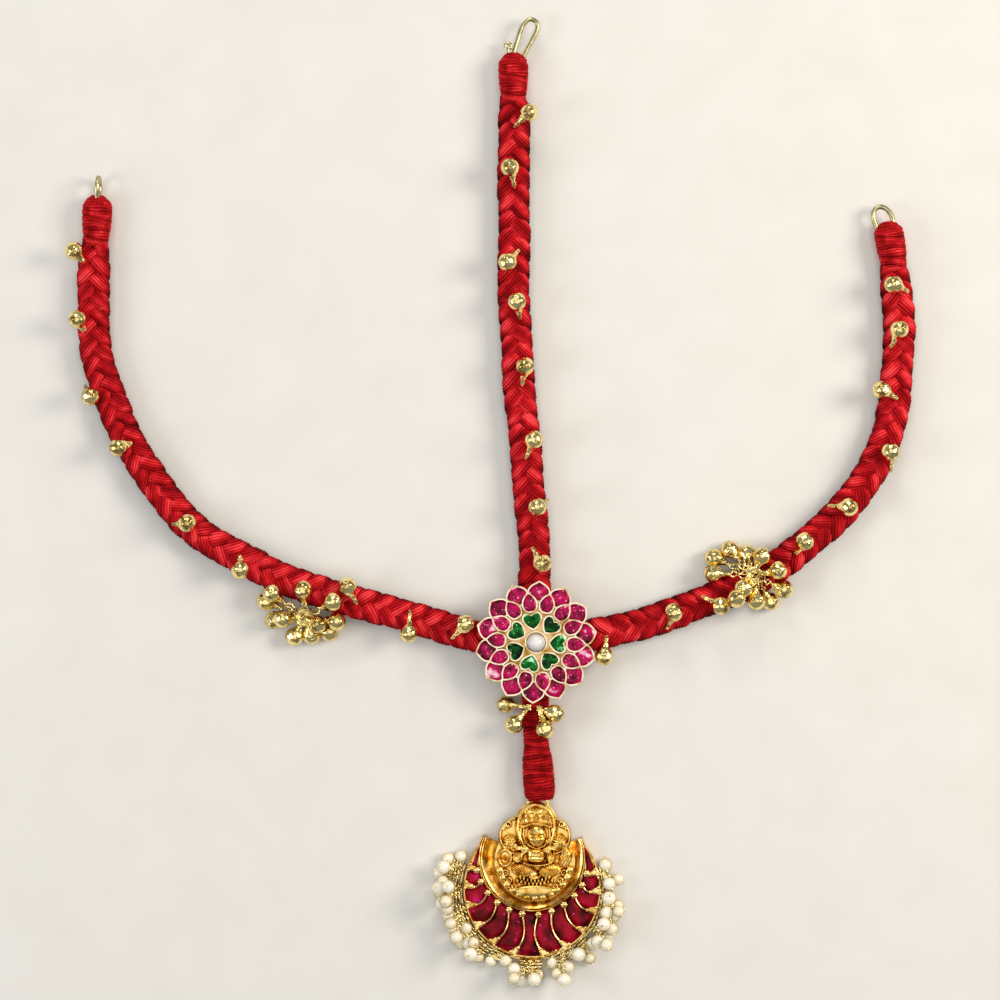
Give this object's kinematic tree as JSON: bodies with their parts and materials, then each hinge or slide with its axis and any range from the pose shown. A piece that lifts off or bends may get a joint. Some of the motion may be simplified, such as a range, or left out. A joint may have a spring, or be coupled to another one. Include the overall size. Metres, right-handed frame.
{
  "type": "maang tikka",
  "caption": "Bridal maang tikka: crimson thread plaits hung with gold bells meet under a ruby and emerald flower, above a crescent pendant with a seated figure and a pearl fringe.",
  "frame": {"origin": "centre of the pendant's outer circle, on the plane of its flat back", "axes": "+Y along the top plait from the pendant towards the top hook, +Z out of the table towards the viewer, +X to the viewer's right"},
  "size_m": [0.2291, 0.2632, 0.0137],
  "materials": {
    "gold": "polished gold plate",
    "crimson_thread": "plaited cotton thread",
    "crimson_whipping": "wound cotton thread",
    "emerald_glass": "cut green stone, polished",
    "pearl": "pearl lustre"
  },
  "bodies": {
    "root": {"braid_top": "crimson_thread", "braid_left": "crimson_thread", "braid_right": "crimson_thread", "whipping_top": "crimson_whipping", "whipping_left": "crimson_whipping", "whipping_right": "crimson_whipping", "whipped_stem": "crimson_whipping", "top_hook": "gold", "top_eye": "gold", "left_loop": "gold", "right_loop": "gold", "bell_top_1": "gold", "bell_top_2": "gold", "bell_top_3": "gold", "bell_top_4": "gold", "bell_top_5": "gold", "bell_top_6": "gold", "bell_top_7": "gold", "bell_top_8": "gold", "bell_left_1": "gold", "bell_left_2": "gold", "bell_left_3": "gold", "bell_left_4": "gold", "bell_left_5": "gold", "bell_left_6": "gold", "bell_left_7": "gold", "bell_left_8": "gold", "bell_left_9": "gold", "bell_right_1": "gold", "bell_right_2": "gold", "bell_right_3": "gold", "bell_right_4": "gold", "bell_right_5": "gold", "bell_right_6": "gold", "bell_right_7": "gold", "bell_right_8": "gold", "bell_right_9": "gold", "bell_cluster_left": "gold", "bell_cluster_right": "gold", "flower_bells_left": "gold", "flower_bells_right": "gold", "flower_setting": "gold", "emerald_1": "emerald_glass", "emerald_2": "emerald_glass", "emerald_3": "emerald_glass", "emerald_4": "emerald_glass", "emerald_5": "emerald_glass", "emerald_6": "emerald_glass", "emerald_7": "emerald_glass", "flower_pearl": "pearl", "pendant_crescent": "gold", "pendant_figure": "gold", "pearl_fringe_left": "pearl", "pearl_fringe_right": "pearl"}
  },
  "joints": []
}
